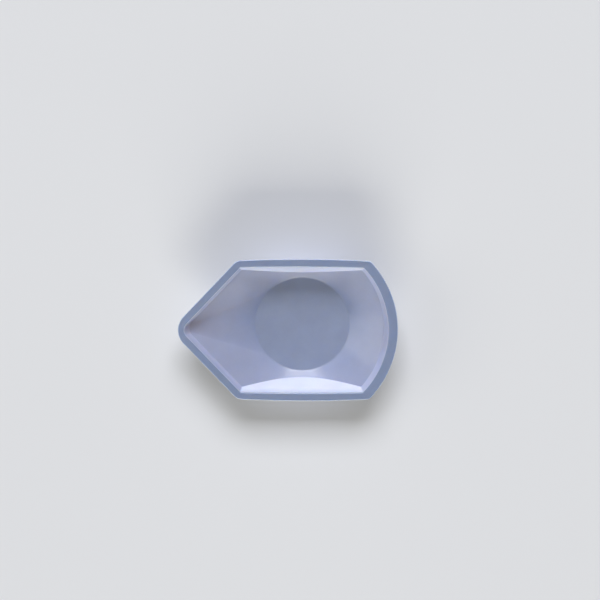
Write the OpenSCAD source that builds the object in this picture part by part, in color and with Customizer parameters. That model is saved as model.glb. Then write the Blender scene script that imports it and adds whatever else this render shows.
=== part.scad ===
// Weighing boat with a pouring spout, formed from one thin sheet of plastic.
// A flat round base opens into a flared wall. A steep wall below the rim trims that flare to the
// mouth's outline, and a channel runs from the base up to the pointed spout.
// The origin is at the centre of the base's underside, +Z is up and the spout points along -X.

/* [Overall] */
// From the centre of the base to the rim's outer edge at the spout
spout_reach = 79.2; // [74:0.2:90]
// From the centre of the base to the rim's outer edge at the back
back_reach = 60.8; // [56:0.2:66]
// Width over the rim, at the middle of the long sides
width = 91.6; // [84:0.2:100]
// Height of the rim's top above the surface that the boat stands on
height = 25; // [20:0.5:30]
// Thickness of the sheet
sheet = 0.35; // [0.25:0.05:0.6]

/* [Rim] */
// Width of the rim along the two straight edges of the spout
spout_rim = 4.6; // [3.4:0.1:6]
// Width of the rim at the middle of the long sides
side_rim = 5.2; // [4:0.1:6.6]
// Width of the rim at the back
back_rim = 6; // [4.8:0.1:7.4]
// Radius of the long sides' gentle bow at the rim's outer edge
rim_bow_r = 790; // [500:10:1500]
// Radius of the long sides' gentle bow at the mouth
mouth_bow_r = 1500; // [700:10:3000]
// Radius of the back's arc at the rim's outer edge
back_r = 64.5; // [60:0.5:75]
// Depth of the rim's turned-down lip
lip_drop = 1.2; // [0.9:0.1:2]
// Radius over the turned-down lip
lip_r = 0.8; // [0.6:0.05:1]
// Radius of the edge between the rim and the steep wall
mouth_fillet = 1.4; // [0.8:0.1:2.2]

/* [Spout] */
// Angle between the two straight edges of the spout
spout_angle = 93.2; // [86:0.2:100]
// Radius of the mouth's rounded tip
tip_r = 5.8; // [4.4:0.1:8]
// Radius of the rim's outer edge round the tip
rim_tip_r = 12.5; // [10:0.1:15]
// Radius of the channel's bottom at its outer end
channel_r = 3.5; // [2:0.1:6]

/* [Corners] */
// Radius of the mouth's corners between the spout and the long sides
front_corner_r = 1.6; // [1:0.1:4]
// Radius of the mouth's corners between the long sides and the back
back_corner_r = 1.6; // [1:0.1:4]
// Radius of the rim's outer corners between the spout and the long sides
rim_front_corner_r = 6.8; // [3:0.1:10]
// Radius of the rim's outer corners between the long sides and the back
rim_back_corner_r = 4.4; // [3:0.1:10]

/* [Walls] */
// Radius of the flat round base, inside
base_r = 30.7; // [24:0.1:32]
// Height of the steep wall along the spout's straight edges
skirt = 7.1; // [5:0.1:9]
// Slope of the steep wall, in degrees from the vertical
draft = 15.5; // [12:0.1:19]
// Radius between the base and the flared wall
base_fillet = 2.5; // [1:0.1:4]
// Radius between the flared wall and the steep wall
crease_fillet = 1.2; // [0.6:0.1:2]

/* [Hidden] */

// Steps along half of the outline: round stretches get more, straight ones need none
back_steps = 13;
corner_steps = 4;
side_steps = 20;
tip_steps = 10;
// Steps round each fillet of the section
fillet_steps = 4;
crease_steps = 3;
// Halvings that find where the steep wall meets the flared wall
search_steps = 30;

// Least height of the steep wall, and least strip of floor or flare between two fillets
least_skirt = 1.5;
least_strip = 1.5;
// A turn below this angle, in degrees, is laid out straight
least_turn = 1;
// Share of an even spacing in the places of the columns round the base
evenness = 0.07;

// The parts of half of the outline, from the back round to the tip
BACK = 0;
BACK_CORNER = 1;
SIDE = 2;
FRONT_CORNER = 3;
TIP = 4;

half_angle = spout_angle / 2;
run = tan(draft);
inner_height = height - sheet;

// The rim's outer edge and the mouth run parallel along the spout's straight edges
rim_edge_distance = (spout_reach - rim_tip_r) * sin(half_angle) + rim_tip_r;
mouth_edge_distance = rim_edge_distance - spout_rim;

// The flared wall is tangent to the plane below each straight edge of the spout
flare_height = inner_height - skirt;
flare_run = (mouth_edge_distance - run * skirt - base_r) / flare_height;
channel_x = (base_r + flare_run * flare_height - channel_r) / sin(half_angle);

// Unit vectors in plan: across the spout's straight edge, and along it towards the tip
edge_normal = [-sin(half_angle), cos(half_angle)];
edge_along = [-cos(half_angle), -sin(half_angle)];

function unit(v) = v / norm(v);
function ray(angle) = [cos(angle), sin(angle)];
function angle_of(v) = atan2(v.y, v.x);
function flip(v) = [v.x, -v.y, v.z];
function flat(v) = [v.x, v.y];
function lift(v, z) = [v.x, v.y, z];

// An outline is [bow centre y, bow radius, back centre x, back radius, distance of the spout's edge,
// back corner radius, front corner radius, tip radius]
rim_outline = [
    width / 2 - rim_bow_r,
    rim_bow_r,
    back_reach - back_r,
    back_r,
    rim_edge_distance,
    rim_back_corner_r,
    rim_front_corner_r,
    rim_tip_r
];

// The mouth's outline, moved inwards by an inset with its corner radii kept
function mouth_outline(inset) = [
    width / 2 - side_rim - mouth_bow_r,
    mouth_bow_r - inset,
    back_reach - back_r,
    back_r - back_rim - inset,
    mouth_edge_distance - inset,
    back_corner_r,
    front_corner_r,
    tip_r
];

// Centre of the corner between the long side's bow and the back's arc: two circles meet there
function back_corner(o) =
    let (
        bow_centre = [0, o[0]],
        to_back = [o[2], 0] - bow_centre,
        span = norm(to_back),
        bow_reach = o[1] - o[5],
        back_span = o[3] - o[5],
        along = (bow_reach * bow_reach - back_span * back_span + span * span) / (2 * span),
        across = sqrt(bow_reach * bow_reach - along * along),
        u = to_back / span
    )
    bow_centre + u * along + [u.y, -u.x] * across;

// Centre of the corner between the long side's bow and the spout's edge: a line meets a circle
function front_corner(o) =
    let (
        bow_centre = [0, o[0]],
        foot = edge_normal * (o[4] - o[6]) - bow_centre,
        back = foot * edge_along,
        reach = o[1] - o[6]
    )
    bow_centre + foot + edge_along * (-back - sqrt(back * back - foot * foot + reach * reach));

// The point of an outline at a column, which is [part of the outline, share of that part]
function outline_point(o, column) =
    let (
        part = column[0],
        share = column[1],
        bow_centre = [0, o[0]],
        back_centre = [o[2], 0],
        b = back_corner(o),
        f = front_corner(o),
        turns = [
            0,
            angle_of(b - back_centre),
            angle_of(b - bow_centre),
            angle_of(f - bow_centre),
            90 + half_angle,
            180
        ],
        centres = [back_centre, b, bow_centre, f, [-(o[4] - o[7]) / sin(half_angle), 0]],
        radii = [o[3], o[5], o[1], o[6], o[7]],
        angle = turns[part] + share * (turns[part + 1] - turns[part])
    )
    centres[part] + radii[part] * ray(angle);

// Share of the channel's length at which its moving circle reaches a point in plan
function channel_share(p) =
    let (
        shrink = channel_r - base_r,
        a = channel_x * channel_x - shrink * shrink,
        b = p.x * channel_x - base_r * shrink,
        c = p * p - base_r * base_r
    )
    (-b - sqrt(max(0, b * b - a * c))) / a;

// The flared wall at a point in plan: [height above the floor, direction of its base point].
// It is a cone round the base, a plane below the spout's edge, and the channel between the two.
function flare(p) =
    let (
        along = p * edge_along,
        plane_height = (p * edge_normal - base_r) / flare_run,
        channel_along = channel_x * cos(half_angle) * plane_height / flare_height
    )
    along < 0 ? [(norm(p) - base_r) / flare_run, angle_of(p)]
    : along < channel_along ? [plane_height, 90 + half_angle]
    : let (share = channel_share(p)) [share * flare_height, angle_of(p + [channel_x * share, 0])];

function flare_top(p) = max(0, min(flare(p)[0], inner_height - least_skirt));

// The inset at which the steep wall has come down to the flared wall
function meeting_inset(column, low, high, steps) =
    let (inset = (low + high) / 2)
    steps == 0 ? inset
    : inner_height - inset / run > flare_top(outline_point(mouth_outline(inset), column))
        ? meeting_inset(column, inset, high, steps - 1)
        : meeting_inset(column, low, inset, steps - 1);

// An arc tangent to the two straight pieces before and after a corner, as [point, direction] pairs
function rounded(before, corner, after, radius, steps) =
    let (
        d0 = unit(corner - before),
        d1 = unit(after - corner),
        turn = acos(max(-1, min(1, d0 * d1))),
        room = 0.45 * min(norm(corner - before), norm(after - corner)),
        reach = min(room, radius * tan(turn / 2)),
        start = corner - d0 * reach
    )
    turn < least_turn
        ? [for (i = [0:steps]) [corner + d0 * room * (2 * i / steps - 1), d0]]
        : let (
            r = reach / tan(turn / 2),
            side = unit(d1 - d0 * (d0 * d1))
        )
        [for (i = [0:steps])
            let (a = turn * i / steps)
            [start + r * (d0 * sin(a) + side * (1 - cos(a))), d0 * cos(a) + side * sin(a)]];

// The fillet round the base. It is worked out square to the base's edge, and then leans along the
// edge with the wall, whose straight lines run towards the spout
function base_rounded(base, crease) =
    let (
        outwards = unit(lift(flat(base), 0)),
        round_way = [-outwards.y, outwards.x, 0],
        rise = crease - base,
        drift = rise * round_way,
        lean = rise.z > least_strip ? drift / rise.z : 0,
        square = rounded(base - outwards * base_r, base, crease - round_way * drift, base_fillet, fillet_steps)
    )
    [for (s = square)
        [s[0] + round_way * lean * (s[0].z - base.z), unit(s[1] + round_way * lean * s[1].z)]];

half_columns = [
    for (i = [0:back_steps - 1]) [BACK, i / back_steps],
    for (i = [0:corner_steps - 1]) [BACK_CORNER, i / corner_steps],
    for (i = [0:side_steps - 1]) [SIDE, i / side_steps],
    for (i = [0:corner_steps]) [FRONT_CORNER, i / corner_steps],
    for (i = [0:tip_steps]) [TIP, i / tip_steps]
];
half_count = len(half_columns);
column_count = 2 * half_count - 2;

// The section of the upper face at one column, from the floor out to the lip
function section(index) =
    let (
        column = half_columns[index],
        inset = meeting_inset(column, least_skirt * run, inner_height * run, search_steps),
        plan = outline_point(mouth_outline(inset), column),
        turned = (1 - evenness) * flare(plan)[1] + evenness * 180 * index / (half_count - 1),
        base = lift(min(base_r, norm(plan) - least_strip) * ray(turned), sheet),
        crease = lift(plan, height - inset / run),
        mouth = lift(outline_point(mouth_outline(0), column), height),
        edge = lift(outline_point(rim_outline, column), height),
        lip = edge - [0, 0, lip_drop]
    )
    concat(
        base_rounded(base, crease),
        rounded(base, crease, mouth, crease_fillet, crease_steps),
        rounded(crease, mouth, edge, mouth_fillet, fillet_steps),
        rounded(mouth, edge, lip, lip_r, fillet_steps),
        [[lip, [0, 0, -1]]]
    );

half_sections = [for (i = [0:half_count - 1]) section(i)];
ring_count = len(half_sections[0]);
sections = concat(
    half_sections,
    [for (i = [half_count - 2:-1:1]) [for (s = half_sections[i]) [flip(s[0]), flip(s[1])]]]
);

function upper(ring, column) = sections[(column + column_count) % column_count][ring][0];

// The under face lies one sheet below the upper face, square to it
function under(ring, column) =
    let (round_way = upper(ring, column + 1) - upper(ring, column - 1))
    upper(ring, column) - sheet * unit(cross(sections[column][ring][1], round_way));

// Two triangles between neighbouring columns of two rings, cut the same way on both halves
function strip(a, b) = [
    for (j = [0:column_count - 1])
        let (k = (j + 1) % column_count)
        each j < column_count / 2
            ? [[a + j, a + k, b + k], [a + j, b + k, b + j]]
            : [[a + j, a + k, b + j], [a + k, b + k, b + j]]
];

module weighing_boat() {
    last = ring_count - 1;
    under_start = ring_count * column_count;
    points = concat(
        [for (i = [0:last]) for (j = [0:column_count - 1]) upper(i, j)],
        [for (i = [0:last]) for (j = [0:column_count - 1]) under(i, j)]
    );
    upper_faces = [for (i = [0:last - 1]) each strip(i * column_count, (i + 1) * column_count)];
    under_faces = [
        for (i = [0:last - 1])
            each strip(under_start + (i + 1) * column_count, under_start + i * column_count)
    ];
    lip_faces = strip(last * column_count, under_start + last * column_count);
    floor_face = [for (j = [column_count - 1:-1:0]) j];
    base_face = [for (j = [0:column_count - 1]) under_start + j];
    color([0.66, 0.70, 0.80])
        polyhedron(
            points,
            concat(upper_faces, under_faces, lip_faces, [floor_face], [base_face]),
            convexity = 6
        );
}

weighing_boat();
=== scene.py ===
"""Dresses the weighing boat: a fine skin of thin milky plastic sheet, lying on a pale studio floor.

The sizes, the finish and the stage sit in property groups, the boat and the stage are operators, and a
panel in the 3D view's sidebar lists them. All lengths are in metres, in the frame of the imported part:
+Z is up, the spout points along -X and the boat mirrors across the XZ plane.
"""

import math
from dataclasses import dataclass

import bpy
import numpy as np
from bpy.props import FloatProperty, FloatVectorProperty, IntProperty, PointerProperty
from mathutils import Matrix, Vector


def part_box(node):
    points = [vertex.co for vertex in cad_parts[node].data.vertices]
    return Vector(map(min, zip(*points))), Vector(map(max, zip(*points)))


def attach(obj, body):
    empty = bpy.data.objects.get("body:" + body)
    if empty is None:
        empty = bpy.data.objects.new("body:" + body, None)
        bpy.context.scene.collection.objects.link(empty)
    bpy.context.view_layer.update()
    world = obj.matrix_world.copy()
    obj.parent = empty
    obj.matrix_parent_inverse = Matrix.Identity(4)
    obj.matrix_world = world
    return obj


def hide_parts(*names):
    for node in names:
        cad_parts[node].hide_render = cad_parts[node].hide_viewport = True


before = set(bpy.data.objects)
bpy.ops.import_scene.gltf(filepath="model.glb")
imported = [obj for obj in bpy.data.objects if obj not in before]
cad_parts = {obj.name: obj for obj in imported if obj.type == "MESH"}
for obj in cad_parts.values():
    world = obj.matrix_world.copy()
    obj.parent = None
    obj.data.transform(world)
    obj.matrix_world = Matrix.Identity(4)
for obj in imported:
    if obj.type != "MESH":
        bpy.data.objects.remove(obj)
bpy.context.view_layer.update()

bl_info = {
    "name": "Weighing Boat",
    "version": (1, 0, 0),
    "blender": (4, 5, 0),
    "location": "View3D > Sidebar > Boat",
    "description": "Forms a weighing boat with a pouring spout and lights it on a pale floor",
    "category": "Mesh",
}

MM = 0.001
NODE = "weighing_boat"
NODE_LOW, NODE_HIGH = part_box(NODE)

# The parts of half of the outline, from the back round to the tip
BACK, BACK_CORNER, SIDE, FRONT_CORNER, EDGE, TIP = range(6)

# Attributes that the mesh hands to its materials
STRETCH_AND_GLOW = "stretch_and_glow"
BEND_HIGHLIGHT = "highlight"

# How far the sheet is drawn out, from 0 in the rim to 1 in the thinnest wall; towards 1 the colour also
# carries a painted glow of light through the sheet, palest on the steep wall
RIM_STRETCH = 0.0
BASE_STRETCH = 0.4
FLARE_STRETCH = 0.7
SPOUT_STRETCH_AND_GLOW = 0.78
BACK_STRETCH_AND_GLOW = 0.86
SIDE_STRETCH_AND_GLOW = 1.0
# Share of the mouth's fillet, from the wall up, in which the sheet changes from drawn, with its painted
# glow, to full
MOUTH_CHANGE = 0.5
# How strong the painted highlight on the mouth's fillet is, where the lip's painted highlight is 1
MOUTH_HIGHLIGHT = 0.55


def seen(red, green, blue):
    """A colour given as it is seen on a screen, from 0 to 255, as the linear values that shaders take."""

    def linear(value):
        level = value / 255
        if level <= 0.04045:
            return level / 12.92
        return ((level + 0.055) / 1.055) ** 2.4

    return linear(red), linear(green), linear(blue)


# Settings --------------------------------------------------------------------------------------------
# The five functions below each make one kind of property.


def length(name, description, default):
    return FloatProperty(name=name, description=description, default=default, unit="LENGTH", precision=5)


def angle(name, description, default):
    return FloatProperty(name=name, description=description, default=math.radians(default), unit="ROTATION")


def count(name, description, default):
    return IntProperty(name=name, description=description, default=default, min=1)


def share(name, description, default, top=1.0):
    return FloatProperty(name=name, description=description, default=default, min=0, max=top)


def colour(name, description, default):
    return FloatVectorProperty(
        name=name, description=description, default=default, subtype="COLOR", min=0, max=1
    )


class BoatSizes(bpy.types.PropertyGroup):
    """Sizes of the boat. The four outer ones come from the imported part."""

    spout_reach: length("Spout Reach", "Base centre to the rim's outer edge at the spout", -NODE_LOW.x)
    back_reach: length("Back Reach", "Base centre to the rim's outer edge at the back", NODE_HIGH.x)
    width: length("Width", "Width over the rim, at the middle of the long sides", NODE_HIGH.y - NODE_LOW.y)
    height: length("Height", "Height of the rim's top above the floor", NODE_HIGH.z)
    sheet: length("Sheet", "Thickness of the sheet", 0.35 * MM)
    spout_rim: length("Spout Rim", "Width of the rim along the spout's straight edges", 4.6 * MM)
    side_rim: length("Side Rim", "Width of the rim at the middle of the long sides", 5.2 * MM)
    back_rim: length("Back Rim", "Width of the rim at the back", 6 * MM)
    rim_bow_r: length("Rim Bow", "Radius of the long sides' bow at the rim's outer edge", 790 * MM)
    mouth_bow_r: length("Mouth Bow", "Radius of the long sides' bow at the mouth", 1500 * MM)
    back_r: length("Back Arc", "Radius of the back's arc at the rim's outer edge", 64.5 * MM)
    lip_drop: length("Lip Drop", "Depth of the rim's turned-down lip", 1.2 * MM)
    lip_r: length("Lip Radius", "Radius over the turned-down lip", 0.8 * MM)
    mouth_fillet: length("Mouth Fillet", "Radius between the rim and the steep wall", 1.4 * MM)
    spout_angle: angle("Spout Angle", "Angle between the spout's straight edges", 93.2)
    tip_r: length("Tip Radius", "Radius of the mouth's rounded tip", 5.8 * MM)
    rim_tip_r: length("Rim Tip Radius", "Radius of the rim's outer edge round the tip", 12.5 * MM)
    channel_r: length("Channel Radius", "Radius of the channel's bottom at its outer end", 3.5 * MM)
    front_corner_r: length("Front Corners", "Radius of the mouth's corners at the spout", 1.6 * MM)
    back_corner_r: length("Back Corners", "Radius of the mouth's corners at the back", 1.6 * MM)
    rim_front_corner_r: length("Rim Front Corners", "Radius of the rim's corners at the spout", 6.8 * MM)
    rim_back_corner_r: length("Rim Back Corners", "Radius of the rim's corners at the back", 4.4 * MM)
    base_r: length("Base Radius", "Radius of the flat round base, inside", 30.7 * MM)
    skirt: length("Skirt", "Height of the steep wall along the spout's straight edges", 7.1 * MM)
    draft: angle("Draft", "Slope of the steep wall from the vertical", 15.5)
    base_fillet: length("Base Fillet", "Radius between the base and the flared wall", 2.5 * MM)
    crease_fillet: length("Crease Fillet", "Radius between the flared and the steep wall", 1.2 * MM)


class BoatMesh(bpy.types.PropertyGroup):
    """How finely the boat's skin is divided."""

    back_steps: count("Back Steps", "Columns round half of the back", 52)
    corner_steps: count("Corner Steps", "Columns round each corner", 14)
    side_steps: count("Side Steps", "Columns along a long side", 76)
    edge_steps: count("Edge Steps", "Columns along a straight edge of the spout", 30)
    tip_steps: count("Tip Steps", "Columns round half of the tip", 36)
    fillet_steps: count("Fillet Steps", "Rings round each fillet of the section", 8)
    floor_rings: count("Floor Rings", "Rings across the flat base", 8)
    flare_rings: count("Flare Rings", "Rings up the flared wall", 9)
    strip_rings: count("Strip Rings", "Rings across the steep wall and across the rim", 5)


class SheetFinish(bpy.types.PropertyGroup):
    """Colours and gloss of the milky sheet, with a painted glow on the steep wall and a painted highlight
    on the bends.
    """

    rim_colour: colour("Rim", "Colour of the full sheet, as in the rim", seen(116, 135, 169))
    base_colour: colour("Base", "Colour of the half drawn sheet, as in the base", seen(155, 164, 187))
    flare_colour: colour("Flared Wall", "Colour of the drawn sheet, as in this wall", seen(149, 160, 189))
    # Steep Wall: the sheet's colour made paler by a painted glow of light through the sheet
    steep_glow_colour: colour("Steep Wall", "Colour of the sheet where it is drawn most", seen(209, 217, 247))
    # Bends: a painted highlight line along the mouth's fillet and the lip
    bend_highlight_colour: colour("Bends", "Colour of the whitened bends at mouth and lip", seen(214, 224, 246))
    highlight_strength: share("Whitening", "How far the bends are whitened", 0.85)
    trim_colour: colour("Trim", "Colour of the whitened trimmed edge", seen(205, 210, 222))
    depth: length("Depth", "How far light travels inside the sheet", 1.5 * MM)
    # A denoiser leaves light specks where the roughness crosses about 0.27, so it stays below that
    roughness: share("Roughness", "Roughness of the moulded face", 0.24)
    unevenness: share("Unevenness", "How far the face's roughness varies", 0.08)
    index: FloatProperty(
        name="Index", description="Refractive index of the sheet", default=1.57, min=1, max=2
    )
    mottle: share("Mottle", "How much the milkiness varies", 0.05)
    cloud_size: length("Cloud Size", "Size of the clouds in the milkiness", 14 * MM)
    relief: length("Relief", "Height of the face's soft waves", 0.012 * MM)
    wave_size: length("Wave Size", "Size of the face's soft waves", 1.6 * MM)
    line_spacing: length("Line Spacing", "Distance between the lines along the sheet", 0.9 * MM)


class StageSettings(bpy.types.PropertyGroup):
    """The floor, the lamps and the camera."""

    floor_colour: colour("Floor", "Colour of the floor", seen(222, 222, 224))
    floor_width: length("Floor Width", "Width of the floor", 8.0)
    sky: share("Sky", "Light that the surroundings cast", 0.06, 2)
    backdrop_colour: colour("Backdrop", "Surroundings where they are seen or mirrored", seen(228, 228, 230))
    lamp_distance: length("Lamp Distance", "Lamps to the middle of the mouth", 20.0)
    cool: colour("Cool Lamp", "Colour of the key lamp", (0.9, 0.93, 1.0))
    warm: colour("Warm Lamps", "Colour of the front and the side lamp", (1.0, 0.99, 0.9))
    key_light: share("Key Lamp", "Light of the key lamp on a face turned to it", 1.03, 10)
    key_height: angle("Key Lamp Height", "Angle of the key lamp above the floor, on the +Y side", 42)
    front_light: share("Front Lamp", "Light of the front lamp on a face turned to it", 0.93, 10)
    front_height: angle("Front Lamp Height", "Angle of the front lamp above the floor, on the -Y side", 20)
    side_light: share("Side Lamp", "Light of the side lamp on a face turned to it", 0.17, 10)
    side_height: angle("Side Lamp Height", "Angle of the side lamp above the floor, by the spout", 28.6)
    view_tilt: angle("View Tilt", "Lean of the view from straight above, towards the +Y side", 10)
    view_roll: angle("View Roll", "Turn of the view about its own axis", 0.16)
    view_distance: length("View Distance", "Camera to the middle of the mouth", 1.0)
    focal_length: FloatProperty(
        name="Focal Length", description="Focal length of the camera, in mm", default=94.4, unit="CAMERA"
    )
    view_rise: length("View Rise", "How far above the mouth's middle the camera aims", 19.45 * MM)
    view_left: length("View Left", "How far left of the mouth's middle the camera aims", 1.55 * MM)


# The boat's form -------------------------------------------------------------------------------------
# Points in plan are complex numbers, x + y * 1j, with one number for each column of the skin.

UP = np.array([0.0, 0.0, 1.0])
# How much of the way round the base each part of the outline has in an even spacing
PLACES = [13, 4, 20, 4, 1, 10]
# Share of that even spacing in where the columns stand on the base's edge
EVENNESS = 0.07
# Halvings that find where the steep wall meets the flared wall
SEARCH_STEPS = 40
# Least height of the steep wall
LEAST_SKIRT = 1.5 * MM
# Least turn that an arc is worked out for, in radians
LEAST_TURN = 0.001
# Most of a straight strip that the arc at one of its ends may take up
MOST_OF_STRIP = 0.45
# Share of a straight strip that its first and last ring stand off its ends
END_RING = 0.06
# Share of the base's radius that its last ring stands off its edge
BASE_END_RING = 0.015


def ray(turn):
    return np.exp(1j * turn)


def dot(a, b):
    return (a * np.conj(b)).real


def eased(value):
    """A value from 0 to 1 with a gentle start and end."""
    return value * value * (3 - 2 * value)


@dataclass
class Outline:
    """Half of an outline: the long side's bow, the back's arc, the spout's edge and their roundings."""

    half_angle: float
    bow_centre: complex
    bow_r: float | np.ndarray
    back_centre: float
    back_r: float | np.ndarray
    edge_distance: float | np.ndarray
    back_corner_r: float
    front_corner_r: float
    tip_r: float

    def back_corner(self):
        """Centre of the corner between the long side's bow and the back's arc: two circles meet there."""
        to_back = self.back_centre - self.bow_centre
        span = abs(to_back)
        bow_span = self.bow_r - self.back_corner_r
        back_span = self.back_r - self.back_corner_r
        along = (bow_span**2 - back_span**2 + span**2) / (2 * span)
        across = np.sqrt(bow_span**2 - along**2)
        return self.bow_centre + to_back / span * (along - 1j * across)

    def front_corner(self):
        """Centre of the corner between the long side's bow and the spout's edge: a line meets a circle."""
        edge_way = -ray(self.half_angle)
        edge_normal = 1j * ray(self.half_angle)
        foot = edge_normal * (self.edge_distance - self.front_corner_r) - self.bow_centre
        back = dot(foot, edge_way)
        reach = self.bow_r - self.front_corner_r
        along = -back - np.sqrt(back**2 - abs(foot) ** 2 + reach**2)
        return self.bow_centre + foot + edge_way * along

    def points(self, part, part_share):
        """Points of the outline. Each part is an arc, or a straight line between the ends of two arcs."""
        back_corner = self.back_corner()
        front_corner = self.front_corner()
        tip_centre = -(self.edge_distance - self.tip_r) / math.sin(self.half_angle) + 0j
        edge_turn = math.pi / 2 + self.half_angle
        turns = [
            0.0,
            np.angle(back_corner - self.back_centre),
            np.angle(back_corner - self.bow_centre),
            np.angle(front_corner - self.bow_centre),
            edge_turn,
            edge_turn,
            math.pi,
        ]
        centres = [self.back_centre, back_corner, self.bow_centre, front_corner, front_corner, tip_centre]
        corner_r = self.front_corner_r
        radii = [self.back_r, self.back_corner_r, self.bow_r, corner_r, corner_r, self.tip_r]

        def between(at_start, at_end):
            first = np.choose(part, at_start)
            return first + (np.choose(part, at_end) - first) * part_share

        centre = between(centres, centres[:EDGE] + [tip_centre, tip_centre])
        radius = between(radii, radii[:EDGE] + [self.tip_r, self.tip_r])
        turn = between(turns[:-1], turns[1:])
        return centre + radius * ray(turn)


class Form:
    """The boat's faces, worked out from its sizes."""

    def __init__(self, sizes, fineness):
        self.sizes = sizes
        self.fineness = fineness
        self.part, self.part_share, self.place = self.columns()
        self.half_angle = sizes.spout_angle / 2
        # How far the steep wall leans in for each unit of its height
        self.run = math.tan(sizes.draft)
        self.inner_height = sizes.height - sizes.sheet
        tip_span = sizes.spout_reach - sizes.rim_tip_r
        self.rim_edge_distance = tip_span * math.sin(self.half_angle) + sizes.rim_tip_r
        self.mouth_edge_distance = self.rim_edge_distance - sizes.spout_rim
        self.flare_height = self.inner_height - sizes.skirt
        skirt_foot = self.mouth_edge_distance - self.run * sizes.skirt
        self.flare_run = (skirt_foot - sizes.base_r) / self.flare_height
        self.channel_x = (skirt_foot - sizes.channel_r) / math.sin(self.half_angle)

    def columns(self):
        """Part, share of that part and even place from 0 to 1 of each column, from the back to the tip."""
        fine = self.fineness
        corner = fine.corner_steps
        steps = [fine.back_steps, corner, fine.side_steps, corner, fine.edge_steps, fine.tip_steps]
        part = np.append(np.repeat(np.arange(len(steps)), steps), TIP)
        part_share = np.append(np.concatenate([np.arange(n) / n for n in steps]), 1.0)
        starts = np.concatenate([[0], np.cumsum(PLACES)]) / sum(PLACES)
        place = starts[part] + part_share * np.diff(starts)[part]
        return part, part_share, place

    def rim_points(self):
        """The rim's outer edge in plan."""
        sizes = self.sizes
        outline = Outline(
            half_angle=self.half_angle,
            bow_centre=1j * (sizes.width / 2 - sizes.rim_bow_r),
            bow_r=sizes.rim_bow_r,
            back_centre=sizes.back_reach - sizes.back_r,
            back_r=sizes.back_r,
            edge_distance=self.rim_edge_distance,
            back_corner_r=sizes.rim_back_corner_r,
            front_corner_r=sizes.rim_front_corner_r,
            tip_r=sizes.rim_tip_r,
        )
        return outline.points(self.part, self.part_share)

    def mouth_points(self, inset):
        """The mouth in plan, moved inwards with its corner radii kept."""
        sizes = self.sizes
        outline = Outline(
            half_angle=self.half_angle,
            bow_centre=1j * (sizes.width / 2 - sizes.side_rim - sizes.mouth_bow_r),
            bow_r=sizes.mouth_bow_r - inset,
            back_centre=sizes.back_reach - sizes.back_r,
            back_r=sizes.back_r - sizes.back_rim - inset,
            edge_distance=self.mouth_edge_distance - inset,
            back_corner_r=sizes.back_corner_r,
            front_corner_r=sizes.front_corner_r,
            tip_r=sizes.tip_r,
        )
        return outline.points(self.part, self.part_share)

    def flare(self, p):
        """Height of the flared wall above the base, and the direction of its line's foot on the base.

        The wall is a cone round the base's back and side, then a plane under the spout's edge, and then the
        channel: a slanted cone whose circles move out and shrink from the base's to the channel's own.
        """
        base_r = self.sizes.base_r
        along = dot(p, -ray(self.half_angle))
        cone_height = (abs(p) - base_r) / self.flare_run
        plane_height = (dot(p, 1j * ray(self.half_angle)) - base_r) / self.flare_run
        channel_along = self.channel_x * math.cos(self.half_angle) * plane_height / self.flare_height
        # The share of the channel's height at which its circle goes through p, from a square equation
        growth = self.sizes.channel_r - base_r
        a = self.channel_x**2 - growth**2
        b = p.real * self.channel_x - base_r * growth
        c = abs(p) ** 2 - base_r**2
        reached = (-b - np.sqrt(np.maximum(0, b * b - a * c))) / a
        on_cone_or_plane = [along < 0, along < channel_along]
        height = np.select(on_cone_or_plane, [cone_height, plane_height], reached * self.flare_height)
        turns = [np.angle(p), math.pi / 2 + self.half_angle]
        turn = np.select(on_cone_or_plane, turns, np.angle(p + self.channel_x * reached))
        return height, turn

    def meeting_insets(self):
        """How far in the steep wall has moved where it has come down to the flared wall."""
        low = np.full(self.part.shape, LEAST_SKIRT * self.run)
        high = np.full(self.part.shape, self.inner_height * self.run)
        for _ in range(SEARCH_STEPS):
            inset = (low + high) / 2
            top = np.clip(self.flare(self.mouth_points(inset))[0], 0, self.inner_height - LEAST_SKIRT)
            above = self.inner_height - inset / self.run > top
            low = np.where(above, inset, low)
            high = np.where(above, high, inset)
        return low

    def corners(self):
        """The section's corners before they are rounded: base, crease, mouth, rim's edge and lip."""
        sizes = self.sizes
        inset = self.meeting_insets()
        crease = self.mouth_points(inset)
        turned = (1 - EVENNESS) * self.flare(crease)[1] + EVENNESS * math.pi * self.place
        edge = lifted(self.rim_points(), sizes.height)
        return (
            lifted(sizes.base_r * ray(turned), sizes.sheet),
            lifted(crease, sizes.height - inset / self.run),
            lifted(self.mouth_points(0), sizes.height),
            edge,
            edge - UP * sizes.lip_drop,
        )

    def steep_stretch_and_glow(self):
        """How far the steep wall is drawn out, and how strong its painted glow is, in each column: most
        along the long side.
        """
        parts = [self.part == SIDE, self.part == BACK_CORNER, self.part == FRONT_CORNER]
        on_side = eased(np.select(parts, [1, self.part_share, 1 - self.part_share], 0))
        at_end = np.where(self.part <= BACK_CORNER, BACK_STRETCH_AND_GLOW, SPOUT_STRETCH_AND_GLOW)
        return at_end + (SIDE_STRETCH_AND_GLOW - at_end) * on_side

    def looks(self):
        """Each arc's stretch and painted glow at its start and end, the change between them, and its
        painted highlight, ring by ring.
        """
        steep = self.steep_stretch_and_glow()
        shares = np.linspace(0, 1, self.fineness.fillet_steps + 1)
        early = np.minimum(shares / MOUTH_CHANGE, 1)
        plain = np.zeros(len(shares))
        return [
            (BASE_STRETCH, FLARE_STRETCH, shares, plain),
            (FLARE_STRETCH, steep, shares, plain),
            # The mouth's fillet and the lip get a painted highlight line
            (steep, RIM_STRETCH, early, MOUTH_HIGHLIGHT * np.sin(math.pi * early)),
            (RIM_STRETCH, RIM_STRETCH, shares, np.sin(shares * math.pi / 2)),
        ]

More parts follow.
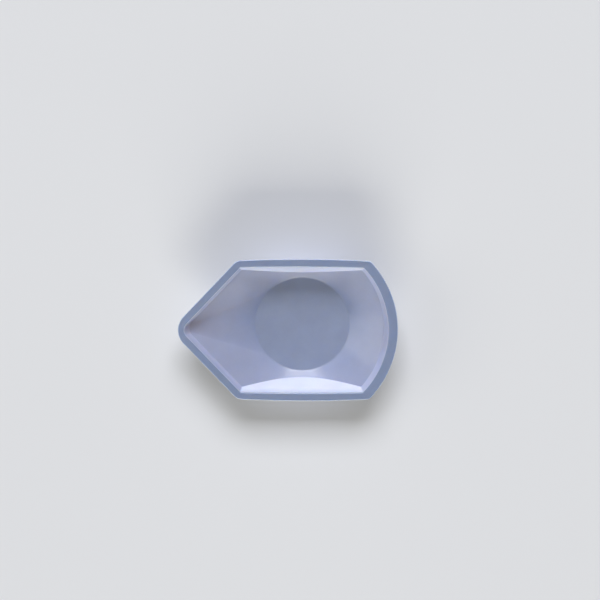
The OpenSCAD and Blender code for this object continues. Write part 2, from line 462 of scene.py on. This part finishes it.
    def half_section(self):
        """Rings of the upper face from the base's edge to the lip: arcs with straight strips between."""
        sizes = self.sizes
        steps = self.fineness.fillet_steps
        base, crease, mouth, edge, lip = self.corners()
        arcs = [
            base_arc(base, crease, sizes.base_r, sizes.base_fillet, steps),
            arc(base, crease, mouth, sizes.crease_fillet, steps),
            arc(crease, mouth, edge, sizes.mouth_fillet, steps),
            arc(mouth, edge, lip, sizes.lip_r, steps),
        ]
        strips = [0, self.fineness.flare_rings, self.fineness.strip_rings, self.fineness.strip_rings]
        rings = Rings(len(self.part))
        for strip, (points, directions), (first, last, change, highlights) in zip(strips, arcs, self.looks()):
            if strip:
                rings.fill(points[0], first, highlights[0], strip)
            rings.add(points, directions, (first, last), change, highlights)
        # The lip keeps the full painted highlight down to its cut edge
        rings.fill(lip, RIM_STRETCH, highlight=1, steps=1)
        rings.append(lip, np.broadcast_to(-UP, lip.shape), RIM_STRETCH, 1)
        return rings


class Rings:
    """Rings of the upper face: points, directions of the section, stretch and painted glow, and painted
    highlight, for each column.
    """

    def __init__(self, column_count):
        self.column_count = column_count
        self.points = []
        self.directions = []
        self.stretch_and_glow_values = []
        self.highlights = []

    def append(self, point, direction, stretch_and_glow, highlight):
        self.points.append(point)
        self.directions.append(direction)
        self.stretch_and_glow_values.append(np.broadcast_to(stretch_and_glow, self.column_count))
        self.highlights.append(np.broadcast_to(highlight, self.column_count))

    def add(self, points, directions, span, change, highlights):
        """Rings as given, each with the stretch and painted glow at its share of the change from first to
        last.
        """
        first, last = span
        for point, direction, changed, highlight in zip(points, directions, change, highlights):
            self.append(point, direction, first + (last - first) * changed, highlight)

    def fill(self, target, stretch_and_glow, highlight, steps):
        """Rings on the straight strip from the last ring to the target, close to both of its ends too."""
        start = self.points[-1]
        direction = self.directions[-1]
        start_stretch_and_glow = self.stretch_and_glow_values[-1]
        start_highlight = self.highlights[-1]
        for along in np.linspace(END_RING, 1 - END_RING, steps):
            changed = eased(along)
            self.append(
                start + (target - start) * along,
                direction,
                start_stretch_and_glow + (stretch_and_glow - start_stretch_and_glow) * changed,
                start_highlight + (highlight - start_highlight) * changed,
            )


def lifted(plan, z):
    """Points in plan at a height, as rows of x, y and z."""
    return np.stack([plan.real, plan.imag, np.broadcast_to(z, plan.shape)], axis=-1)


def size_of(vectors):
    return np.linalg.norm(vectors, axis=-1, keepdims=True)


def unit(vectors):
    return vectors / size_of(vectors)


def row_dot(a, b):
    return (a * b).sum(axis=-1, keepdims=True)


def arc(before, corner, after, radius, steps):
    """An arc tangent to the two straight strips before and after a corner: its points and directions."""
    way_in = unit(corner - before)
    way_out = unit(after - corner)
    turn = np.maximum(np.arccos(np.clip(row_dot(way_in, way_out), -1, 1)), LEAST_TURN)
    room = MOST_OF_STRIP * np.minimum(size_of(corner - before), size_of(after - corner))
    reach = np.minimum(room, radius * np.tan(turn / 2))
    start = corner - way_in * reach
    fitted_r = reach / np.tan(turn / 2)
    side = unit(way_out - way_in * row_dot(way_in, way_out))
    points = []
    directions = []
    for i in range(steps + 1):
        turned = turn * i / steps
        points.append(start + fitted_r * (way_in * np.sin(turned) + side * (1 - np.cos(turned))))
        directions.append(way_in * np.cos(turned) + side * np.sin(turned))
    return points, directions


def base_arc(base, crease, base_r, radius, steps):
    """The fillet round the base, square to the base's edge, which leans with the wall's straight lines."""
    outwards = unit(base * (1 - UP))
    round_way = np.stack([-outwards[:, 1], outwards[:, 0], np.zeros(len(base))], axis=-1)
    rise = crease - base
    drift = row_dot(rise, round_way)
    lean = drift / rise[:, 2:]
    points, directions = arc(base - outwards * base_r, base, crease - round_way * drift, radius, steps)
    leaned = [p + round_way * lean * (p - base)[:, 2:] for p in points]
    turned = [unit(d + round_way * lean * d[:, 2:]) for d in directions]
    return leaned, turned


def around(half):
    """Values of a whole ring from those of its half: the half, then back from the tip to the back."""
    return np.concatenate([half, half[-2:0:-1]])


def mirrored(half):
    """Points of a whole ring from those of its half, the second half as its mirror image."""
    sides = around(np.ones(len(half)))
    sides[len(half):] = -1
    return around(half) * np.stack([np.ones(len(sides)), sides, np.ones(len(sides))], axis=-1)


def skins(form, rings):
    """Points of the upper and the under skin, ring by ring from the base's middle out to the lip."""
    upper = np.array([mirrored(p) for p in rings.points])
    directions = np.array([mirrored(d) for d in rings.directions])
    round_way = np.roll(upper, -1, axis=1) - np.roll(upper, 1, axis=1)
    under = upper - form.sizes.sheet * unit(np.cross(directions, round_way))
    base_rings = form.fineness.floor_rings
    base_shares = np.append(np.arange(1, base_rings + 1) / (base_rings + 1), 1 - BASE_END_RING)
    base_shares = base_shares[:, None, None]
    middle = UP * form.sizes.sheet
    upper_base = middle + (upper[0] - middle) * base_shares
    under_base = under[0] * base_shares
    return np.concatenate([upper_base, upper]), np.concatenate([under_base, under])


def skin_faces(ring_count, column_count):
    """Faces of both skins, the lip's trimmed edge and the base's middle, and which of them are trim."""
    skin_size = ring_count * column_count
    columns = np.arange(column_count)
    following = np.roll(columns, -1)

    def strip(a, b):
        return np.stack([a + columns, a + following, b + following, b + columns], axis=1)

    def fan(a, b, pole):
        return np.stack([a, b, np.full(column_count, pole)], axis=1)

    inner = [i * column_count for i in range(ring_count)]
    outer = [skin_size + start for start in inner]
    upper = [strip(b, a) for a, b in zip(inner, inner[1:])]
    under = [strip(a, b) for a, b in zip(outer, outer[1:])]
    quads = np.concatenate([*upper, *under, strip(outer[-1], inner[-1])])
    upper_fan = fan(columns, following, 2 * skin_size)
    under_fan = fan(skin_size + following, skin_size + columns, 2 * skin_size + 1)
    trim = slice(len(quads) - column_count, len(quads))
    return [*quads.tolist(), *upper_fan.tolist(), *under_fan.tolist()], trim


def skin_mesh(form):
    """The boat's closed mesh, an upper and an under skin joined at the lip, and which faces are trim."""
    rings = form.half_section()
    upper, under = skins(form, rings)
    ring_count, column_count = upper.shape[:2]
    faces, trim = skin_faces(ring_count, column_count)
    points = np.concatenate([upper.reshape(-1, 3), under.reshape(-1, 3), [UP * form.sizes.sheet, UP * 0]])
    mesh = bpy.data.meshes.new(NODE)
    mesh.from_pydata(points.tolist(), [], faces)
    mesh.shade_smooth()
    base_shape = (ring_count - len(rings.points), column_count)
    # Writes the stretch with its painted glow, and the painted highlight, as attributes
    for name, on_base, on_rings in ((STRETCH_AND_GLOW, BASE_STRETCH, rings.stretch_and_glow_values), (BEND_HIGHLIGHT, 0, rings.highlights)):
        on_skin = np.concatenate([np.full(base_shape, on_base), [around(ring) for ring in on_rings]])
        write_attribute(mesh, name, [*on_skin.ravel(), *on_skin.ravel(), on_base, on_base])
    return mesh, trim


def write_attribute(mesh, name, values):
    mesh.attributes.new(name, "FLOAT", "POINT").data.foreach_set("value", np.asarray(values, np.float32))


# Materials -------------------------------------------------------------------------------------------

MOTTLE = "Soft Mottle"
DIE_LINES = "Die Lines"
# Distance between two nodes in the node editor
NODE_GAP = 220
# The colour sockets of a mix node, which its names don't tell apart from the others
MIX_FIRST, MIX_SECOND, MIX_RESULT = 6, 7, 2

# How far red, green and blue light travel inside the sheet, as shares of its depth
LIGHT_REACH = (1.0, 0.8, 0.55)
# Share of the clouds in the mottle, where the grain has the rest
CLOUD_SHARE = 0.8
# How many times finer the grain is than the clouds
GRAIN_FINENESS = 14.0
# How far noise strays from its middle
NOISE_REACH = 0.25
# Scale of the die lines' pattern along X, Y and Z, low where the lines run on
LINE_SCALE = (0.02, 1.0, 0.02)
# Share of the soft waves in the sheet's relief, where the die lines have the rest
WAVE_SHARE = 0.7

# The trimmed edge: its clouds, its lines, its roughness and how much stronger its effects are
TRIM_CLOUDS = 4 * MM
TRIM_LINES = 0.3 * MM
TRIM_ROUGHNESS = 0.45
TRIM_UNEVENNESS = 0.2
TRIM_STRENGTH = 2

# The floor: its clouds, how much they vary its colour, and its roughness
FLOOR_CLOUDS = 0.4
FLOOR_MOTTLE = 0.006
FLOOR_ROUGHNESS = 0.8


class Tree:
    """A node tree that is built from left to right."""

    def __init__(self, tree):
        self.tree = tree
        self.tree.nodes.clear()
        self.column = 0

    def add(self, kind, inputs=None, **settings):
        """A node with its settings, and its inputs by name or place: a value, or a socket to link from."""
        node = self.tree.nodes.new(kind)
        node.location = (self.column * NODE_GAP, 0)
        self.column += 1
        for name, value in settings.items():
            setattr(node, name, value)
        for name, value in (inputs or {}).items():
            if isinstance(value, bpy.types.NodeSocket):
                self.tree.links.new(value, node.inputs[name])
            else:
                node.inputs[name].default_value = value
        return node

    def group(self, group, inputs):
        """The outputs of a node group with the given inputs."""
        return self.add("ShaderNodeGroup", inputs, node_tree=group).outputs

    def attribute(self, name):
        return self.add("ShaderNodeAttribute", attribute_name=name).outputs["Fac"]

    def math(self, operation, *values):
        return self.add("ShaderNodeMath", dict(enumerate(values)), operation=operation).outputs[0]

    def vector(self, operation, *values):
        return self.add("ShaderNodeVectorMath", dict(enumerate(values)), operation=operation).outputs[0]

    def scaled(self, vector, scale):
        return self.add("ShaderNodeVectorMath", {0: vector, "Scale": scale}, operation="SCALE").outputs[0]

    def noise(self, vector, scale, detail=2.0, roughness=0.5):
        inputs = {"Vector": vector, "Scale": scale, "Detail": detail, "Roughness": roughness}
        return self.add("ShaderNodeTexNoise", inputs).outputs["Fac"]

    def mix(self, factor, first, second):
        """A colour between two, where each is a value or a socket."""
        inputs = {0: factor, MIX_FIRST: first, MIX_SECOND: second}
        for place in (MIX_FIRST, MIX_SECOND):
            if not isinstance(inputs[place], bpy.types.NodeSocket):
                inputs[place] = (*inputs[place], 1)
        return self.add("ShaderNodeMix", inputs, data_type="RGBA").outputs[MIX_RESULT]

    def ramp(self, factor, stops):
        """A colour ramp through (place, colour) stops."""
        node = self.add("ShaderNodeValToRGB", {"Fac": factor})
        elements = node.color_ramp.elements
        for spare in list(elements)[1:]:
            elements.remove(spare)
        elements[0].position = stops[0][0]
        elements[0].color = (*stops[0][1], 1)
        for place, value in stops[1:]:
            elements.new(place).color = (*value, 1)
        return node.outputs["Color"]


def new_group(name, inputs, outputs):
    """A shader node group with named sockets, its tree, and the outputs of its input node."""
    group = bpy.data.node_groups.new(name, "ShaderNodeTree")
    for socket, kind, default in inputs:
        made = group.interface.new_socket(socket, in_out="INPUT", socket_type=kind)
        if default is not None:
            made.default_value = default
    for socket, kind in outputs:
        group.interface.new_socket(socket, in_out="OUTPUT", socket_type=kind)
    tree = Tree(group)
    return group, tree, tree.add("NodeGroupInput").outputs


def mottle_group():
    """Soft clouds and fine grain: a factor that varies round 1, and the grain alone."""
    group, tree, given = new_group(
        MOTTLE,
        [
            ("Vector", "NodeSocketVector", None),
            ("Cloud Size", "NodeSocketFloat", 0.012),
            ("Amount", "NodeSocketFloat", 0.05),
        ],
        [("Factor", "NodeSocketFloat"), ("Grain", "NodeSocketFloat")],
    )
    per_cloud = tree.math("DIVIDE", 1.0, given["Cloud Size"])
    clouds = tree.noise(given["Vector"], per_cloud, detail=3.0)
    grain = tree.noise(given["Vector"], tree.math("MULTIPLY", per_cloud, GRAIN_FINENESS))
    cloud_part = tree.math("MULTIPLY", clouds, CLOUD_SHARE)
    grain_part = tree.math("MULTIPLY", grain, 1 - CLOUD_SHARE)
    centred = tree.math("SUBTRACT", tree.math("ADD", cloud_part, grain_part), 0.5)
    strength = tree.math("MULTIPLY", given["Amount"], 1 / NOISE_REACH)
    varied = tree.math("MULTIPLY_ADD", centred, strength, 1.0)
    tree.add("NodeGroupOutput", {"Factor": varied, "Grain": grain})
    return group


def die_line_group():
    """Fine lines that run the length of extruded sheet, along X."""
    group, tree, given = new_group(
        DIE_LINES,
        [("Vector", "NodeSocketVector", None), ("Spacing", "NodeSocketFloat", 0.0008)],
        [("Lines", "NodeSocketFloat")],
    )
    drawn = tree.vector("MULTIPLY", given["Vector"], LINE_SCALE)
    per_spacing = tree.math("DIVIDE", 1.0, given["Spacing"])
    lines = tree.noise(drawn, per_spacing, detail=3.0, roughness=0.7)
    tree.add("NodeGroupOutput", {"Lines": lines})
    return group


def shared_group(name, make):
    """The node group of that name, made once."""
    return bpy.data.node_groups.get(name) or make()


def new_material(name):
    """An empty node material with its tree and object coordinates."""
    made = bpy.data.materials.new(name)
    made.use_nodes = True
    tree = Tree(made.node_tree)
    where = tree.add("ShaderNodeTexCoord").outputs["Object"]
    return made, tree, where


def add_milky_shader(tree, finish, body, roughness, normal):
    """Milky plastic: light enters the sheet and comes out again nearby or on its other side."""
    shader = tree.add(
        "ShaderNodeBsdfPrincipled",
        {
            "Base Color": body,
            "Roughness": roughness,
            "IOR": finish.index,
            "Subsurface Weight": 1.0,
            "Subsurface Radius": LIGHT_REACH,
            "Subsurface Scale": finish.depth,
            "Normal": normal,
        },
        subsurface_method="RANDOM_WALK",
    )
    tree.add("ShaderNodeOutputMaterial", {"Surface": shader.outputs[0]})


def sheet_material(finish, mottle, die_lines):
    """Milky sheet: deepest in the rim, where it is thickest, and paler where it was drawn thin; the steep
    wall's palest colour is a painted glow of light through the sheet.
    """
    made, tree, where = new_material("Milky Sheet")
    clouds = tree.group(mottle, {"Vector": where, "Cloud Size": finish.cloud_size, "Amount": finish.mottle})
    lines = tree.group(die_lines, {"Vector": where, "Spacing": finish.line_spacing})["Lines"]
    # The ramp's last stop, on the steep wall, is a painted glow of light through the sheet
    drawn = tree.ramp(
        tree.attribute(STRETCH_AND_GLOW),
        [
            (RIM_STRETCH, finish.rim_colour),
            (BASE_STRETCH, finish.base_colour),
            (FLARE_STRETCH, finish.flare_colour),
            (SIDE_STRETCH_AND_GLOW, finish.steep_glow_colour),
        ],
    )
    # Painted highlight laid on the fillets at the mouth and the lip
    whitened = tree.math("MULTIPLY", tree.attribute(BEND_HIGHLIGHT), finish.highlight_strength)
    body = tree.scaled(tree.mix(whitened, drawn, finish.bend_highlight_colour), clouds["Factor"])
    grain = tree.math("SUBTRACT", clouds["Grain"], 0.5)
    roughness = tree.math("MULTIPLY_ADD", grain, finish.unevenness, finish.roughness)
    waves = tree.math("MULTIPLY", tree.noise(where, 1 / finish.wave_size), WAVE_SHARE)
    height = tree.math("ADD", waves, tree.math("MULTIPLY", lines, 1 - WAVE_SHARE))
    bump = tree.add("ShaderNodeBump", {"Strength": 1.0, "Distance": finish.relief, "Height": height})
    add_milky_shader(tree, finish, body, roughness, bump.outputs["Normal"])
    return made


def trim_material(finish, mottle, die_lines):
    """The cut edge of the lip: the same sheet, whitened and roughened by the trimming knife."""
    made, tree, where = new_material("Trimmed Edge")
    amount = finish.mottle * TRIM_STRENGTH
    clouds = tree.group(mottle, {"Vector": where, "Cloud Size": TRIM_CLOUDS, "Amount": amount})
    lines = tree.group(die_lines, {"Vector": where, "Spacing": TRIM_LINES})["Lines"]
    body = tree.scaled(tuple(finish.trim_colour), clouds["Factor"])
    roughness = tree.math("MULTIPLY_ADD", clouds["Grain"], TRIM_UNEVENNESS, TRIM_ROUGHNESS)
    relief = finish.relief * TRIM_STRENGTH
    bump = tree.add("ShaderNodeBump", {"Strength": 1.0, "Distance": relief, "Height": lines})
    add_milky_shader(tree, finish, body, roughness, bump.outputs["Normal"])
    return made


def floor_material(stage, mottle):
    """A plain pale floor with a faint mottle and no gloss."""
    made, tree, where = new_material("Pale Floor")
    clouds = tree.group(mottle, {"Vector": where, "Cloud Size": FLOOR_CLOUDS, "Amount": FLOOR_MOTTLE})
    body = tree.scaled(tuple(stage.floor_colour), clouds["Factor"])
    matte = {"Base Color": body, "Roughness": FLOOR_ROUGHNESS, "Specular IOR Level": 0.0}
    shader = tree.add("ShaderNodeBsdfPrincipled", matte)
    tree.add("ShaderNodeOutputMaterial", {"Surface": shader.outputs[0]})
    return made


# The stage -------------------------------------------------------------------------------------------

# The floor lies this little below the base, so that the two faces don't fight
FLOOR_DROP = -0.02 * MM
# Width and height of each lamp, as shares of its distance
LAMP_WIDTH = 0.67
LAMP_HEIGHT = 0.44
# Width of the camera's sensor, in mm
SENSOR_WIDTH = 36


def linked(name, data):
    """A new object in the scene."""
    made = bpy.data.objects.new(name, data)
    bpy.context.scene.collection.objects.link(made)
    return made


def lay_floor(stage):
    """A square floor just below the base."""
    half = stage.floor_width / 2
    corners = [(x, y, FLOOR_DROP) for x, y in ((-half, -half), (half, -half), (half, half), (-half, half))]
    mesh = bpy.data.meshes.new("floor")
    mesh.from_pydata(corners, [], [(0, 1, 2, 3)])
    mesh.materials.append(floor_material(stage, shared_group(MOTTLE, mottle_group)))
    linked("floor", mesh)


def set_sky(stage):
    """Surroundings that cast a little even light, and look pale where they are seen or mirrored."""
    world = bpy.data.worlds.new("Soft Studio")
    bpy.context.scene.world = world
    world.use_nodes = True
    tree = Tree(world.node_tree)
    path = tree.add("ShaderNodeLightPath").outputs
    mirrored_or_through = tree.math("MAXIMUM", path["Is Glossy Ray"], path["Is Transmission Ray"])
    looked_at = tree.math("MAXIMUM", path["Is Camera Ray"], mirrored_or_through)
    colour_seen = tree.mix(looked_at, (stage.sky,) * 3, tuple(stage.backdrop_colour))
    surroundings = tree.add("ShaderNodeBackground", {"Color": colour_seen, "Strength": 1.0})
    tree.add("ShaderNodeOutputWorld", {"Surface": surroundings.outputs[0]})


def hang_lamp(name, way, distance, target, light, tint):
    """An area lamp that looks at the target and lights a face turned to it as written."""
    lamp = bpy.data.lights.new(name, "AREA")
    lamp.shape = "RECTANGLE"
    lamp.size = distance * LAMP_WIDTH
    lamp.size_y = distance * LAMP_HEIGHT
    lamp.energy = light * (math.pi * distance) ** 2
    lamp.color = tint
    made = linked(name, lamp)
    made.location = target + way * distance
    made.rotation_euler = way.to_track_quat("Z", "Y").to_euler()


def raised(side, height):
    """The way from the boat towards a lamp on a side, at an angle above the floor."""
    return side * math.cos(height) + Vector((0, 0, math.sin(height)))


def hang_lamps(stage, middle):
    """A cool key lamp, a warm front lamp that shines under the key side's wall, and a weak side lamp."""
    lamps = [
        ("key_lamp", Vector((0, 1, 0)), stage.key_height, stage.key_light, stage.cool),
        ("front_lamp", Vector((0, -1, 0)), stage.front_height, stage.front_light, stage.warm),
        ("side_lamp", Vector((-1, 0, 0)), stage.side_height, stage.side_light, stage.warm),
    ]
    for name, side, height, light, tint in lamps:
        hang_lamp(name, raised(side, height), stage.lamp_distance, middle, light, tint)


def set_camera(stage, middle):
    """The camera looks down on the mouth from near the normal, and leans to the +Y side."""
    back = Vector((0, math.sin(stage.view_tilt), math.cos(stage.view_tilt)))
    up = Vector((0, math.cos(stage.view_tilt), -math.sin(stage.view_tilt)))
    right = Vector((1, 0, 0))
    place = middle + back * stage.view_distance
    aim = middle + up * stage.view_rise - right * stage.view_left
    forward = (aim - place).normalized()
    side = forward.cross(up).normalized()
    turned_up = side.cross(forward)
    turn = Matrix((side, turned_up, -forward)).transposed().to_4x4()
    lens = bpy.data.cameras.new("camera")
    lens.sensor_width = SENSOR_WIDTH
    lens.lens = stage.focal_length
    camera = linked("camera", lens)
    camera.matrix_world = Matrix.Translation(place) @ turn @ Matrix.Rotation(stage.view_roll, 4, "Z")
    bpy.context.scene.camera = camera


# Operators and panel ---------------------------------------------------------------------------------


class BOAT_OT_form(bpy.types.Operator):
    """Form the boat's sheet from its sizes and give it its finish"""

    bl_idname = "boat.form"
    bl_label = "Form Boat"

    def execute(self, context):
        scene = context.scene
        mesh, trim = skin_mesh(Form(scene.boat_sizes, scene.boat_mesh))
        boat = linked("boat_sheet", mesh)
        mottle = shared_group(MOTTLE, mottle_group)
        die_lines = shared_group(DIE_LINES, die_line_group)
        mesh.materials.append(sheet_material(scene.boat_finish, mottle, die_lines))
        mesh.materials.append(trim_material(scene.boat_finish, mottle, die_lines))
        material_places = np.zeros(len(mesh.polygons), np.int32)
        material_places[trim] = 1
        mesh.polygons.foreach_set("material_index", material_places)
        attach(boat, "root")
        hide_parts(NODE)
        return {"FINISHED"}


class BOAT_OT_stage(bpy.types.Operator):
    """Lay the floor, hang the lamps and set the camera"""

    bl_idname = "boat.stage"
    bl_label = "Set Stage"

    def execute(self, context):
        stage = context.scene.boat_stage
        middle = Vector((0, 0, context.scene.boat_sizes.height))
        lay_floor(stage)
        set_sky(stage)
        hang_lamps(stage, middle)
        set_camera(stage, middle)
        context.scene.view_settings.view_transform = "Standard"
        return {"FINISHED"}


class BOAT_PT_panel(bpy.types.Panel):
    """Sizes, finish and stage of the weighing boat"""

    bl_idname = "BOAT_PT_panel"
    bl_label = "Weighing Boat"
    bl_space_type = "VIEW_3D"
    bl_region_type = "UI"
    bl_category = "Boat"

    def draw(self, context):
        for title, (group_name, kind) in SETTINGS.items():
            box = self.layout.box()
            box.label(text=title)
            for name in kind.__annotations__:
                box.prop(getattr(context.scene, group_name), name)
        self.layout.operator(BOAT_OT_form.bl_idname)
        self.layout.operator(BOAT_OT_stage.bl_idname)


# The property groups that the scene holds, by their titles in the panel
SETTINGS = {
    "Sizes": ("boat_sizes", BoatSizes),
    "Mesh": ("boat_mesh", BoatMesh),
    "Finish": ("boat_finish", SheetFinish),
    "Stage": ("boat_stage", StageSettings),
}
CLASSES = [BoatSizes, BoatMesh, SheetFinish, StageSettings, BOAT_OT_form, BOAT_OT_stage, BOAT_PT_panel]


def register():
    for kind in CLASSES:
        bpy.utils.register_class(kind)
    for name, kind in SETTINGS.values():
        setattr(bpy.types.Scene, name, PointerProperty(type=kind))


def unregister():
    for name, _ in SETTINGS.values():
        delattr(bpy.types.Scene, name)
    for kind in reversed(CLASSES):
        bpy.utils.unregister_class(kind)


def main():
    register()
    bpy.ops.boat.form()
    bpy.ops.boat.stage()


if __name__ == "__main__":
    main()
